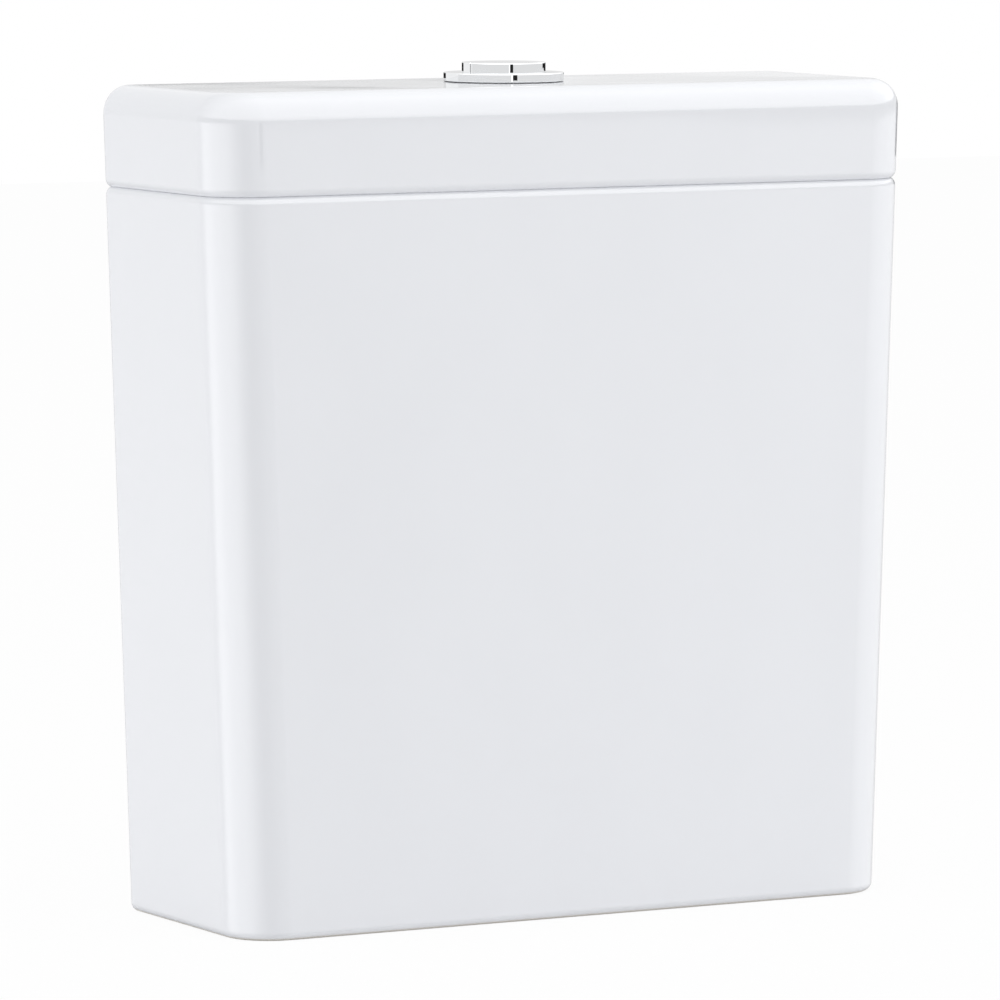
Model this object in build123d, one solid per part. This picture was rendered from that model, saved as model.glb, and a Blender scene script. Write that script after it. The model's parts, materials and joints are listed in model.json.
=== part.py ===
from build123d import *
import os
from math import asin, cos, degrees, pi, sin, sqrt

# Close-coupled toilet cistern: ceramic tank and lid, round two-part button, flush valve, fill valve.
# Millimetres. X runs across the cistern, the front faces -Y, and Z is up from the foot rim.
# Heights are from the foot rim. Flush-valve places are from its axis, and fill-valve places from its own.

# Outer body
top_width = 380.0
body_depth = 124.6
total_height = 397.0
lid_height = 48.0
side_taper_share = 0.0342
front_corner = 25.0
edge_radius = 4.2
lid_crown_radius = 14.0

# Tank
tank_wall = 9.0
floor_underside = 34.0
floor_thickness = 10.0
inner_back_corner = 6.0
floor_radius = 4.0
rim_inner_radius = 1.5

# Lid
lid_roof = 10.0
lid_lip_thickness = 3.5
lid_lip_drop = 8.0
lid_lip_gap = 1.5
pad_thickness = 0.5
pad_length = 14.0
pad_width = 3.0
pad_spacing = 250.0

# Axes seen from above
valve_back_room = 44.2
fill_side_room = 14.93
pan_bolt_spacing = 160.0
pan_bolt_radius = 5.5

# Clearances
overrun = 1.0
running_gap = 0.1
sliding_gap = 0.3
loose_gap = 0.4
thread_gap = 0.2

# Button set
button_radius = 20.2
button_proud = 9.2
button_plate = 3.0
button_wall = 1.6
button_skirt = 19.4
button_edge = 0.4
button_split = 0.8
button_split_offset = 3.0
button_travel = 7.0
stem_radius = 3.6
stem_length = 56.2
full_stem_y = 9.0
half_stem_y = -12.0
rosette_radius = 29.0
rosette_proud = 4.4
rosette_edge = 0.4
rosette_sleeve_wall = 2.0
rosette_sleeve_depth = 35.0
rosette_seal_thickness = 0.3
rosette_seal_width = 4.3
lid_hole_gap = 0.9
lock_nut_height = 8.0
lock_nut_radius = 30.0
lock_nut_lobe = 2.5
lock_nut_lobes = 10
guide_plate = 4.0
guide_spigot = 3.0
guide_tube_wall = 1.8
guide_tube_length = 10.0
spring_wire = 0.8
spring_coil_radius = 4.9
spring_turns = 7
rod_radius = 2.5
rod_engagement = 20.0
rod_foot_radius = 4.5
rod_foot_height = 2.5

# Outlet, seat and shank
shank_wall = 4.8
shank_hole_gap = 1.7
shank_bottom = 6.0
seat_flange_margin = 2.5
seat_flange_height = 5.0
seat_bead_step = 1.0
seat_bead_width = 2.5
seat_bead_height = 3.0
seat_collar_wall = 2.2
seat_collar_height = 5.0
shank_seal_thickness = 4.0
shank_seal_width = 9.0
back_nut_height = 14.0
back_nut_wall = 5.2
back_nut_lobe = 3.0
back_nut_lobes = 8
gasket_back_room = 3.2
gasket_wall = 2.7
gasket_lip_width = 10.0
gasket_floor_gap = 6.0
gasket_edge = 3.0

# Valve cage
cage_wall = 2.6
cage_height = 137.0
cage_windows = 6
window_width = 22.0
window_height = 36.0
window_sill = 7.0
window_corner = 4.0
slot_width = 4.0
slot_sill = 58.0
slot_head_room = 24.0
slot_corner = 1.9

# Bridge on the cage
bridge_ring_width = 6.0
bridge_ring_height = 6.0
bridge_spokes = 4
bridge_spoke_width = 6.0
bridge_hub_wall = 4.0
spigot_depth = 6.0
spigot_wall = 2.4
column_radius = 2.6
column_count = 4
bridge_plate_thickness = 4.0
bridge_plate_margin = 2.0
bridge_hole_gap = 1.5
ear_height = 12.0
ear_thickness = 2.7

# Levers
pivot_drop = 37.0
pad_arm = 18.0
tip_arm = 24.0
lever_width = 7.0
lever_hub_radius = 4.5
lever_pad_radius = 3.9
lever_tip_radius = 2.5
lever_bar = 3.2
pin_radius = 2.0

# Stem with its seal
stem_tube_radius = 14.0
stem_tube_wall = 2.0
overflow_drop = 10.0
stem_lip_width = 3.0
stem_lip_height = 2.0
seal_thickness = 3.0
seal_margin = 2.5
seal_plate_thickness = 3.0
seal_plate_inset = 2.0
seal_plate_hub_height = 8.0
seal_plate_hub_wall = 2.5
main_float_room = 27.0
main_float_height = 45.0
main_float_gap = 2.4
main_float_wall = 1.6
hook_collar_drop = 18.0
hook_collar_height = 10.0
hook_collar_wall = 4.0
hook_arm_height = 6.0
hook_thickness = 4.0
hook_overlap = 5.5
hook_back_gap = 1.5

# Half-flush rod and float
half_rod_foot = 4.0
half_float_room = 13.0
half_float_height = 45.0
half_float_width = 22.0
half_float_depth = 30.0
half_float_gap = 3.0
half_float_wall = 1.6
half_float_corner = 4.0
clip_height = 5.0
clip_radius = 6.0
rod_lug_height = 6.0
rod_lug_margin = 2.2

# Fill valve
tail_radius = 8.33
tail_bottom = 6.0
inlet_shank_radius = 9.4
riser_flange_radius = 16.0
riser_flange_height = 4.0
riser_radius = 10.0
riser_bore = 4.0
riser_drop = 96.0
float_stop_radius = 14.0
float_stop_height = 4.0
inlet_hole_gap = 1.6
inlet_seal_thickness = 3.0
inlet_seal_radius = 15.5
inlet_nut_height = 9.0
inlet_nut_corner_radius = 15.0
filter_radius = 6.0
filter_length = 10.0
filter_wall = 1.2
filter_slots = 6
filter_slot_width = 1.6
fill_head_inset = 8.0
fill_head_height = 22.0
diaphragm_margin = 2.0
diaphragm_thickness = 2.0
fill_cap_height = 13.0
fill_cap_wall = 1.8
fill_cap_skirt = 7.0
fill_cap_ribs = 20
fill_cap_rib = 0.8
nozzle_back_room = 3.5
nozzle_radius = 6.0
nozzle_socket_height = 15.0
nozzle_socket_wall = 2.5
nozzle_socket_crown = 1.5
nozzle_drop = 8.0
discharge_radius = 5.0
discharge_wall = 1.2
discharge_float_gap = 2.0
discharge_floor_gap = 16.0

# Float arm
arm_pivot_x = 12.0
arm_ear_height = 9.0
arm_long = 30.0
arm_width = 12.0
arm_bar = 4.0
arm_end_radius = 2.5
arm_hub_radius = 4.5
arm_slot_width = 6.0
arm_slot_length = 8.0
arm_ear_thickness = 2.7
plunger_radius = 2.5
plunger_head_radius = 4.0
plunger_head_height = 2.0
plunger_length = 16.0

# Float of the fill valve
float_drop = 63.0
float_height = 50.0
float_roof = 4.0
float_wall = 1.6
float_sleeve_wall = 2.6
float_travel = 10.0
float_ear_height = 8.0
float_ear_width = 12.0
screw_radius = 2.2
screw_head_radius = 5.0
screw_head_height = 7.0
screw_collar_radius = 4.4
screw_collar_height = 2.5
screw_float_lap = 35.0
screw_slot_width = 1.2
screw_slot_depth = 1.8

# Shares: pure numbers
steep_share = 0.9
spring_start_share = 0.55
clip_mouth_share = 0.9

# Worked out from the sizes above
lid_bottom = total_height - lid_height
tank_top = lid_bottom - pad_thickness
roof_underside = total_height - lid_roof
floor_top = floor_underside + floor_thickness
lip_outer_inset = tank_wall + lid_lip_gap
lip_inner_inset = lip_outer_inset + lid_lip_thickness
inner_back = body_depth / 2 - tank_wall
valve_y = inner_back - valve_back_room
rosette_bore = button_radius + loose_gap
sleeve_radius = rosette_bore + rosette_sleeve_wall
sleeve_bottom = total_height - rosette_sleeve_depth
lid_hole_radius = sleeve_radius + lid_hole_gap
button_top = total_height + button_proud
button_ceiling = button_top - button_plate
stem_bottom = button_top - stem_length
guide_low = sleeve_bottom - guide_plate
guide_top = sleeve_bottom + guide_spigot
gasket_radius = valve_back_room - gasket_back_room
gasket_lip_radius = gasket_radius - gasket_lip_width
gasket_height = floor_underside - gasket_floor_gap
back_nut_reach = gasket_radius - gasket_wall - sliding_gap
back_nut_radius = back_nut_reach - back_nut_lobe
back_nut_low = floor_underside - back_nut_height
shank_radius = back_nut_radius - back_nut_wall
shank_seal_radius = shank_radius + thread_gap + shank_seal_width
outlet_radius = shank_radius - shank_wall
seat_bead_inner = outlet_radius + seat_bead_step
seat_bead_outer = seat_bead_inner + seat_bead_width
seal_radius = seat_bead_outer + seal_margin
seal_plate_radius = seal_radius - seal_plate_inset
main_float_radius = seal_radius
cage_bore = main_float_radius + main_float_gap
cage_radius = cage_bore + cage_wall
seat_collar_bore = cage_radius + sliding_gap
seat_flange_radius = seat_collar_bore + seat_collar_wall + seat_flange_margin
seat_flange_low = floor_top + shank_seal_thickness
seat_flange_top = seat_flange_low + seat_flange_height
seat_top = seat_flange_top + seat_bead_height
cage_top = seat_flange_top + cage_height
slot_height = cage_height - slot_sill - slot_head_room
spigot_low = cage_top - spigot_depth
bridge_top = cage_top + bridge_ring_height
pivot_height = lid_bottom - pivot_drop
bridge_plate_top = pivot_height - ear_height
bridge_plate_low = bridge_plate_top - bridge_plate_thickness
bridge_plate_radius = cage_radius + bridge_plate_margin
column_ring_radius = cage_radius - bridge_ring_width / 2
bridge_hole_radius = stem_tube_radius + bridge_hole_gap
overflow_top = bridge_plate_low - overflow_drop
hook_collar_low = overflow_top - hook_collar_drop
lever_lean = asin(button_travel / (pad_arm + pad_arm))
pad_rise = pad_arm * sin(lever_lean)
tip_drop = tip_arm * sin(lever_lean)
rod_foot_low = pivot_height + pad_rise + lever_pad_radius + sliding_gap
hook_underside = pivot_height - tip_drop + lever_tip_radius + sliding_gap
hook_back_x = pad_arm + tip_arm + lever_tip_radius + hook_back_gap
main_float_low = spigot_low - main_float_room - main_float_height
rod_lug_low = spigot_low - overrun
half_float_low = rod_lug_low - half_float_room - clip_height - half_float_height
half_rod_bottom = half_float_low - half_rod_foot
half_rod_x = -(hook_back_x + rod_radius - sliding_gap)
half_float_x = -(cage_radius + half_float_gap + half_float_width / 2)
inlet_nut_low = floor_underside - inlet_nut_height
riser_top = lid_bottom - riser_drop
nozzle_socket_radius = discharge_radius + thread_gap + nozzle_socket_wall
nozzle_reach = valve_back_room - nozzle_socket_radius - nozzle_back_room
float_radius = nozzle_reach - discharge_radius - discharge_float_gap
float_low = riser_top - float_drop
float_top = float_low + float_height
float_lean = asin(float_travel / 2 / arm_long)
arm_drop = arm_long * sin(float_lean)
short_rise = arm_pivot_x * sin(float_lean)
screw_x = arm_pivot_x + arm_long
screw_bottom = float_top - screw_float_lap
fill_head_radius = float_radius - fill_head_inset
fill_head_top = riser_top + fill_head_height
diaphragm_radius = fill_head_radius - diaphragm_margin
fill_cap_top = fill_head_top + fill_cap_height
fill_cap_radius = fill_head_radius + thread_gap + fill_cap_wall
arm_pivot_height = fill_cap_top + arm_ear_height
nozzle_height = fill_head_top - nozzle_drop - nozzle_radius
discharge_bottom = floor_top + discharge_floor_gap


# Small shapes

def rod(radius, low, high, x=0, y=0):
    """Upright round bar between two heights."""
    bar = Cylinder(radius, high - low, align=(Align.CENTER, Align.CENTER, Align.MIN))
    return Pos(x, y, low) * bar


def ring(outer, inner, low, high, x=0, y=0):
    """Upright tube between two heights."""
    return rod(outer, low, high, x, y) - rod(inner, low - overrun, high + overrun, x, y)


def block(x_span, y_span, z_span):
    """Box between pairs of lower and upper limits."""
    spans = (x_span, y_span, z_span)
    middle = Pos(*((low + high) / 2 for low, high in spans))
    return middle * Box(*(high - low for low, high in spans))


def cross_bar(radius, x, z, y_low, y_high):
    """Round bar along Y."""
    bar = Cylinder(radius, y_high - y_low, rotation=(90, 0, 0))
    return Pos(x, (y_low + y_high) / 2, z) * bar


def group(solids):
    """Separate like solids kept together as one piece."""
    return Compound(children=[solid.solid() for solid in solids])


# Ceramic body

def half_width(height):
    """Half of the outer width at a height: the sides lean out evenly towards the top."""
    return top_width / 2 - side_taper_share * (total_height - height)


def fill_x():
    """The fill valve's axis, with room between its float and the tank's side at the floor."""
    return -(half_width(floor_top) - tank_wall - fill_side_room - float_radius)


def steep_edges(solid, side):
    """The near-upright edges at the front (side -1) or the back (side 1)."""
    return [edge for edge in solid.edges()
            if abs((edge % 0.5).Z) > steep_share and edge.center().Y * side > 0]


def tapered_block(inset, low, high, front_radius=0, back_radius=0):
    """Block that follows the outer faces at an inset, with its upright corners rounded."""
    foot = half_width(low) - inset
    head = half_width(high) - inset
    outline = Polygon((-foot, low), (foot, low), (head, high), (-head, high), align=None)
    solid = extrude(Plane.XZ * outline, body_depth / 2 - inset, both=True)
    if front_radius:
        solid = fillet(steep_edges(solid, -1), front_radius)
    if back_radius:
        solid = fillet(steep_edges(solid, 1), back_radius)
    return solid


def face_at(solid, height):
    """The level face at a height."""
    level = solid.faces().filter_by(GeomType.PLANE).filter_by(Axis.Z)
    return level.sort_by(lambda face: abs(face.center().Z - height))[0]


def inner_block(inset, low, high):
    """A cavity at an inset, with corners that keep the wall even."""
    return tapered_block(inset, low, high, front_corner - inset, inner_back_corner)


def cistern_tank():
    outer = tapered_block(0, 0, tank_top, front_corner)
    back_face = outer.faces().sort_by(Axis.Y)[-1]
    loops = back_face.edges() + face_at(outer, 0).edges() + face_at(outer, tank_top).edges()
    outer = fillet(loops, edge_radius)
    chamber = inner_block(tank_wall, floor_top, tank_top + overrun)
    chamber = fillet(face_at(chamber, floor_top).edges(), floor_radius)
    recess = inner_block(tank_wall, -overrun, floor_underside)
    recess = fillet(face_at(recess, floor_underside).edges(), floor_radius)
    tank = outer - chamber - recess
    tank = fillet(face_at(tank, tank_top).inner_wires()[0].edges(), rim_inner_radius)
    tank = fillet(face_at(tank, 0).inner_wires()[0].edges(), rim_inner_radius)
    low = floor_underside - overrun
    high = floor_top + overrun
    tank -= rod(shank_radius + shank_hole_gap, low, high, 0, valve_y)
    tank -= rod(inlet_shank_radius + inlet_hole_gap, low, high, fill_x(), valve_y)
    for side in (-1, 1):
        tank -= rod(pan_bolt_radius, low, high, side * pan_bolt_spacing / 2, valve_y)
    return tank


def cistern_lid():
    outer = tapered_block(0, lid_bottom, total_height, front_corner)
    top = face_at(outer, total_height)
    back_edge = top.edges().sort_by(Axis.Y)[-1]
    crown = [edge for edge in top.edges() if edge.center().Y < back_edge.center().Y - overrun]
    outer = fillet(crown, lid_crown_radius)
    back_face = outer.faces().sort_by(Axis.Y)[-1]
    outer = fillet(back_face.edges() + face_at(outer, lid_bottom).edges(), edge_radius)
    lip = inner_block(lip_outer_inset, lid_bottom - lid_lip_drop, roof_underside)
    cavity = inner_block(lip_inner_inset, lid_bottom - lid_lip_drop - overrun, roof_underside)
    cavity = fillet(face_at(cavity, roof_underside).edges(), floor_radius)
    lid = outer + lip - cavity
    lip_face = face_at(lid, lid_bottom - lid_lip_drop)
    lid = fillet(lip_face.edges(), rim_inner_radius)
    return lid - rod(lid_hole_radius, roof_underside - overrun, total_height + overrun, 0, valve_y)


def lid_pads():
    pads = []
    reach = body_depth / 2 - tank_wall / 2 - rim_inner_radius
    for side_x in (-1, 1):
        for side_y in (-1, 1):
            outline = Pos(side_x * pad_spacing / 2, side_y * reach) * SlotOverall(pad_length, pad_width)
            pads.append(Pos(0, 0, tank_top) * extrude(outline, pad_thickness))
    return group(pads)


# Button set, placed from the button's own axis

def button_segment(y_low, y_high, shrink, low, high):
    """The part of the round button between two chords, drawn in by a shrink."""
    chords = block((-button_radius, button_radius), (y_low + shrink, y_high - shrink), (low, high))
    return rod(button_radius - shrink, low, high) & chords


def button(y_low, y_high, stem_y):
    low = button_top - button_skirt
    shell = button_segment(y_low, y_high, 0, low, button_top)
    shell = fillet(face_at(shell, button_top).edges(), button_edge)
    shell -= button_segment(y_low, y_high, button_wall, low - overrun, button_ceiling)
    stem = rod(stem_radius, stem_bottom, button_ceiling + button_plate / 2, 0, stem_y)
    socket = rod(rod_radius + running_gap, stem_bottom - overrun, stem_bottom + rod_engagement, 0, stem_y)
    return shell + stem - socket


def full_flush_button():
    return button(button_split / 2 - button_split_offset, button_radius, full_stem_y)


def half_flush_button():
    return button(-button_radius, -button_split / 2 - button_split_offset, half_stem_y)


def push_rod(stem_y):
    foot = rod(rod_foot_radius, rod_foot_low, rod_foot_low + rod_foot_height, 0, stem_y)
    return foot + rod(rod_radius, rod_foot_low, stem_bottom + rod_engagement, 0, stem_y)


def button_rosette():
    low = total_height + rosette_seal_thickness
    high = total_height + rosette_proud
    plate = rod(rosette_radius, low, high)
    plate = fillet(face_at(plate, high).edges(), rosette_edge)
    body = plate + rod(sleeve_radius, sleeve_bottom, low)
    return body - rod(rosette_bore, sleeve_bottom - overrun, high + overrun)


def rosette_seal():
    outer = rosette_radius - rosette_edge
    return ring(outer, outer - rosette_seal_width, total_height, total_height + rosette_seal_thickness)


def lobed_ring(radius, lobe, count, bore, low, high):
    """Hand nut: a ring with round grips standing out of it."""
    body = rod(radius, low, high)
    for place in PolarLocations(radius, count):
        body += place * rod(lobe, low, high)
    return body - rod(bore, low - overrun, high + overrun)


def lid_lock_nut():
    low = roof_underside - lock_nut_height
    bore = sleeve_radius + thread_gap
    return lobed_ring(lock_nut_radius, lock_nut_lobe, lock_nut_lobes, bore, low, roof_underside)


def button_guide():
    hole = stem_radius + sliding_gap
    guide = rod(sleeve_radius, guide_low, sleeve_bottom)
    guide += rod(rosette_bore - thread_gap, sleeve_bottom, guide_top)
    stems = (full_stem_y, half_stem_y)
    for stem_y in stems:
        guide += rod(hole + guide_tube_wall, guide_top - guide_tube_length, guide_top, 0, stem_y)
    for stem_y in stems:
        guide -= rod(hole, guide_top - guide_tube_length - overrun, guide_top + overrun, 0, stem_y)
    return guide


def spring_point(angle, low, rise):
    """Place and direction on the coil's line at an angle in radians."""
    turn = 2 * pi
    across = spring_coil_radius * cos(angle)
    along = spring_coil_radius * sin(angle)
    point = Vector(across, along, low + rise * angle / turn)
    slope = Vector(-along, across, rise / turn)
    return point, slope.normalized()


def biarc(start, start_way, end, end_way):
    """Two arcs that leave and arrive along the given directions and meet smoothly."""
    chord = end - start
    ways = start_way + end_way
    spread = 2 * (1 - start_way.dot(end_way))
    along = chord.dot(ways)
    reach = (sqrt(along * along + spread * chord.dot(chord)) - along) / spread
    middle = (start + end + (start_way - end_way) * reach) / 2
    first = TangentArc(start, middle, tangent=start_way)
    second = TangentArc(end, middle, tangent=end_way * -1)
    return [first, second]


def spring(stem_y):
    """Round-wire coil between the guide and the button's plate, in quarter turns of two arcs."""
    low = guide_top + spring_wire * spring_start_share
    rise = (button_ceiling - guide_top - spring_wire * spring_start_share * 2) / spring_turns
    quarters = spring_turns * 4
    spots = [spring_point(step * pi / 2, low, rise) for step in range(quarters + 1)]
    path = []
    for (start, start_way), (end, end_way) in zip(spots, spots[1:]):
        path += biarc(start, start_way, end, end_way)
    line = Wire([arc.edge() for arc in path])
    section = Plane(origin=spots[0][0], z_dir=spots[0][1]) * Circle(spring_wire / 2)
    return Pos(0, stem_y, 0) * sweep(section, path=line)


def print_spring_gap():
    """Least gap between the coil's neighbouring turns, measured on points along its line."""
    rise = (button_ceiling - guide_top - spring_wire * spring_start_share * 2) / spring_turns
    steps = spring_turns * 24
    points = [spring_point(step * pi / 12, 0, rise)[0] for step in range(steps + 1)]
    nearest = min((points[i] - points[j]).length for i in range(steps + 1) for j in range(i + 12, steps + 1))
    print("least gap between the spring's turns, mm:", round(nearest - spring_wire, 2))


# Outlet end of the flush valve, placed from its own axis

def valve_seat_body():
    body = rod(shank_radius, shank_bottom, seat_flange_low)
    body += rod(seat_flange_radius, seat_flange_low, seat_flange_top)
    body += rod(seat_bead_outer, seat_flange_top, seat_top)
    body -= rod(seat_bead_inner, seat_flange_top, seat_top + overrun)
    body -= rod(outlet_radius, shank_bottom - overrun, seat_top + overrun)
    collar_top = seat_flange_top + seat_collar_height
    return body + ring(seat_collar_bore + seat_collar_wall, seat_collar_bore, seat_flange_top, collar_top)


def shank_seal():
    return ring(shank_seal_radius, shank_radius + thread_gap, floor_top, seat_flange_low)


def shank_back_nut():
    bore = shank_radius + thread_gap
    return lobed_ring(back_nut_radius, back_nut_lobe, back_nut_lobes, bore, back_nut_low, floor_underside)


def pan_gasket():
    body = rod(gasket_radius, 0, gasket_height)
    body = fillet(body.edges().filter_by(GeomType.CIRCLE), gasket_edge)
    body -= rod(back_nut_reach + sliding_gap, back_nut_low, gasket_height + overrun)
    return body - rod(gasket_lip_radius, -overrun, gasket_height)


# Cage and bridge of the flush valve

def window(width, height, sill, corner, angle):
    """Cutter for one opening in the cage wall."""
    outline = Pos(0, seat_flange_top + sill + height / 2) * RectangleRounded(width, height, corner)
    cutter = extrude(Plane.YZ * outline, cage_radius + overrun)
    return Rot(0, 0, angle) * cutter


def valve_basket():
    cage = rod(cage_radius, seat_flange_top, cage_top)
    cage += rod_lug(rod_lug_low, rod_lug_low + rod_lug_height, cage_radius)
    cage -= rod(cage_bore, seat_flange_top - overrun, cage_top + overrun)
    step = 360 / cage_windows
    for index in range(cage_windows):
        cage -= window(window_width, window_height, window_sill, window_corner, step * index)
        cage -= window(slot_width, slot_height, slot_sill, slot_corner, step * index)
    return cage


def rod_lug(low, high, radius):
    """Eye that stands out of a round body and guides the half-flush rod."""
    reach = half_rod_x - rod_radius - sliding_gap - rod_lug_margin
    half = rod_radius + sliding_gap + rod_lug_margin
    root = -sqrt(radius ** 2 - (abs(half_stem_y) + half) ** 2)
    lug = block((reach, root), (half_stem_y - half, half_stem_y + half), (low, high))
    return lug - rod(rod_radius + sliding_gap, low - overrun, high + overrun, half_rod_x, half_stem_y)


def lever_ears(side, stem_y):
    """The two ears that carry a lever's pin: side 1 is the full-flush lever."""
    pivot_x = side * pad_arm
    ears = []
    for way in (-1, 1):
        near = stem_y + way * (lever_width / 2 + sliding_gap)
        far = near + way * ear_thickness
        y_span = (min(near, far), max(near, far))
        x_span = (pivot_x - lever_hub_radius, pivot_x + lever_hub_radius)
        ear = block(x_span, y_span, (bridge_plate_top, pivot_height))
        ear += cross_bar(lever_hub_radius, pivot_x, pivot_height, *y_span)
        ear -= cross_bar(pin_radius, pivot_x, pivot_height, y_span[0] - overrun, y_span[1] + overrun)
        ears.append(ear)
    return ears


def lever_bridge():
    bridge = ring(cage_radius, cage_radius - bridge_ring_width, cage_top, bridge_top)
    spigot = cage_bore - sliding_gap
    bridge += ring(spigot, spigot - spigot_wall, spigot_low, cage_top)
    hub_bore = stem_tube_radius + loose_gap
    for index in range(bridge_spokes):
        half = bridge_spoke_width / 2
        spoke = block((hub_bore, cage_radius - bridge_ring_width / 2), (-half, half), (cage_top, bridge_top))
        bridge += Rot(0, 0, index * 360 / bridge_spokes) * spoke
    bridge += rod(hub_bore + bridge_hub_wall, cage_top, bridge_top)
    bridge -= rod(hub_bore, cage_top - overrun, bridge_top + overrun)
    start = 180 / column_count
    for place in PolarLocations(column_ring_radius, column_count, start_angle=start):
        bridge += place * rod(column_radius, cage_top, bridge_plate_low)
    plate = rod(bridge_plate_radius, bridge_plate_low, bridge_plate_top)
    bridge += plate - rod(bridge_hole_radius, bridge_plate_low - overrun, bridge_plate_top + overrun)
    bridge += rod_lug(bridge_plate_low, bridge_plate_top, bridge_plate_radius)
    for ear in lever_ears(1, full_stem_y) + lever_ears(-1, half_stem_y):
        bridge += ear
    return bridge


def lever_pins():
    pins = []
    half = lever_width / 2 + sliding_gap + ear_thickness
    for side, stem_y in ((1, full_stem_y), (-1, half_stem_y)):
        pins.append(cross_bar(pin_radius, side * pad_arm, pivot_height, stem_y - half, stem_y + half))
    return group(pins)


def flush_lever(side, stem_y):
    """See-saw lever: the pad under the push rod, the tip under the part that it lifts."""
    y_span = (stem_y - lever_width / 2, stem_y + lever_width / 2)
    lever = cross_bar(lever_hub_radius, 0, 0, *y_span)
    lever += cross_bar(lever_pad_radius, -side * pad_arm, 0, *y_span)
    lever += cross_bar(lever_tip_radius, side * tip_arm, 0, *y_span)
    ends = sorted((-side * pad_arm, side * tip_arm))
    lever += block(ends, y_span, (-lever_bar / 2, lever_bar / 2))
    lever -= cross_bar(pin_radius + running_gap, 0, 0, y_span[0] - overrun, y_span[1] + overrun)
    tilt = Rot(0, side * degrees(lever_lean), 0)
    return Pos(side * pad_arm, 0, pivot_height) * tilt * lever


# Stem that the full-flush lever lifts

def overflow_tube():
    low = seat_top - stem_lip_height
    bore = stem_tube_radius - stem_tube_wall
    return ring(stem_tube_radius, bore, low, overflow_top) + ring(
        stem_tube_radius + stem_lip_width, bore, low, seat_top)


def valve_seal():
    return ring(seal_radius, stem_tube_radius + thread_gap, seat_top, seat_top + seal_thickness)


def seal_plate():
    low = seat_top + seal_thickness
    bore = stem_tube_radius + thread_gap
    plate = ring(seal_plate_radius, bore, low, low + seal_plate_thickness)
    return plate + ring(bore + seal_plate_hub_wall, bore, low, low + seal_plate_hub_height)


def full_flush_float():
    """Cup open at the bottom, on a sleeve round the stem."""
    high = main_float_low + main_float_height
    bore = stem_tube_radius + thread_gap
    inner = main_float_radius - main_float_wall
    cup = ring(main_float_radius, bore, main_float_low, high)
    return cup - ring(inner, bore + main_float_wall, main_float_low - overrun, high - main_float_wall)


def hook_piece(side, stem_y, foot):
    """Hook over a lever's tip: an overhang at the top and an upright behind the tip."""
    y_span = (stem_y - lever_width / 2, stem_y + lever_width / 2)
    top = hook_underside + hook_thickness
    inner = side * (hook_back_x - lever_tip_radius - hook_overlap)
    back = side * hook_back_x
    outer = side * (hook_back_x + hook_thickness)
    hook = block(sorted((inner, outer)), y_span, (hook_underside, top))
    return hook + block(sorted((back, outer)), y_span, (foot, top))


def lift_hook():
    top = hook_collar_low + hook_collar_height
    bore = stem_tube_radius + thread_gap
    arm_low = hook_collar_low + hook_collar_height / 2 - hook_arm_height / 2
    y_span = (full_stem_y - lever_width / 2, full_stem_y + lever_width / 2)
    hook = hook_piece(1, full_stem_y, arm_low)
    hook += block((0, hook_back_x + hook_thickness), y_span, (arm_low, arm_low + hook_arm_height))
    hook += rod(bore + hook_collar_wall, hook_collar_low, top)
    return hook - rod(bore, hook_collar_low - overrun, top + overrun)


# Half-flush rod and float

def half_flush_rod():
    top = hook_underside + hook_thickness
    y_span = (half_stem_y - lever_width / 2, half_stem_y + lever_width / 2)
    inner = -(hook_back_x - lever_tip_radius - hook_overlap)
    body = block((half_rod_x - rod_radius, inner), y_span, (hook_underside, top))
    body += rod(rod_radius, half_rod_bottom, top, half_rod_x, half_stem_y)
    return body + rod(rod_foot_radius, half_rod_bottom, half_float_low, half_rod_x, half_stem_y)


def half_flush_float():
    """Oblong cup open at the bottom, with a sleeve for the rod."""
    high = half_float_low + half_float_height
    place = Pos(half_float_x, half_stem_y, 0)
    outline = place * RectangleRounded(half_float_width, half_float_depth, half_float_corner)
    wall = half_float_wall * 2
    inner_radius = half_float_corner - half_float_wall
    inner = place * RectangleRounded(half_float_width - wall, half_float_depth - wall, inner_radius)
    cup = extrude(Pos(0, 0, half_float_low) * outline, half_float_height)
    cup -= extrude(Pos(0, 0, half_float_low - overrun) * inner, half_float_height - half_float_wall + overrun)
    bore = rod_radius + thread_gap
    cup += rod(bore + half_float_wall, half_float_low, high, half_rod_x, half_stem_y)
    return cup - rod(bore, half_float_low - overrun, high + overrun, half_rod_x, half_stem_y)


def half_float_clip():
    """Spring clip on the rod: a round body open on one side."""
    low = half_float_low + half_float_height
    clip = ring(clip_radius, rod_radius + thread_gap, low, low + clip_height, half_rod_x, half_stem_y)
    half = rod_radius * clip_mouth_share
    y_span = (half_stem_y - half, half_stem_y + half)
    z_span = (low - overrun, low + clip_height + overrun)
    return clip - block((half_rod_x - clip_radius - overrun, half_rod_x), y_span, z_span)


# Fill valve, placed from its own axis

def fill_valve_riser():
    flange_low = floor_top + inlet_seal_thickness
    riser = rod(tail_radius, tail_bottom, flange_low)
    riser += rod(inlet_shank_radius, inlet_nut_low, flange_low)
    riser += rod(riser_flange_radius, flange_low, flange_low + riser_flange_height)
    riser += rod(riser_radius, flange_low, riser_top)
    riser += rod(float_stop_radius, float_low - float_stop_height, float_low)
    riser -= rod(filter_radius + running_gap, tail_bottom - overrun, tail_bottom + filter_length)
    return riser - rod(riser_bore, tail_bottom, riser_top + overrun)


def inlet_seal():
    bore = inlet_shank_radius + thread_gap
    return ring(inlet_seal_radius, bore, floor_top, floor_top + inlet_seal_thickness)


def inlet_back_nut():
    nut = extrude(Pos(0, 0, inlet_nut_low) * RegularPolygon(inlet_nut_corner_radius, 6), inlet_nut_height)
    return nut - rod(inlet_shank_radius + thread_gap, inlet_nut_low - overrun, floor_underside + overrun)


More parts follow.
